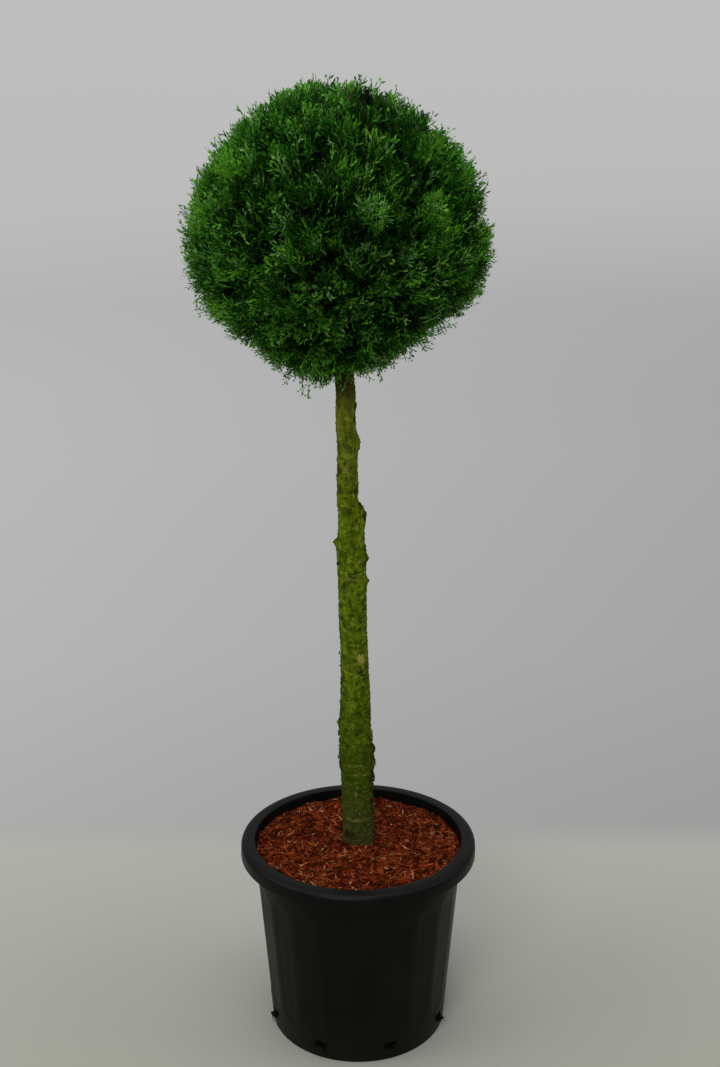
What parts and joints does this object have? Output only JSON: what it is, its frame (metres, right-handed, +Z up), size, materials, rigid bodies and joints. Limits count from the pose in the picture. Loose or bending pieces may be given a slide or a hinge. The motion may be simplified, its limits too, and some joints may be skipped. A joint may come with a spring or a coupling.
{
  "type": "standard lollipop topiary",
  "caption": "Evergreen clipped to a dense ball on a single clear trunk, planted in a round black nursery pot with bark mulch.",
  "frame": {"origin": "middle of the pot's flat underside", "axes": "+Z up along the trunk, -Y towards the front of the tree, +X to the right of someone who faces the front"},
  "size_m": [0.4489, 0.4349, 1.5038],
  "materials": {
    "pot_plastic": "satin black moulded plastic",
    "potting_mix": "dark crumbly bark and peat",
    "bark_mulch": "rough shredded red-brown bark",
    "trunk_bark": "rough bark under a film of green algae",
    "foliage": "dense flat sprays of scale leaves"
  },
  "bodies": {
    "root": {"pot": "pot_plastic", "pot_rim": "pot_plastic", "pot_rim_skirt": "pot_plastic", "potting_mix": "potting_mix", "bark_mulch": "bark_mulch", "trunk": "trunk_bark", "foliage_ball": "foliage"}
  },
  "joints": []
}
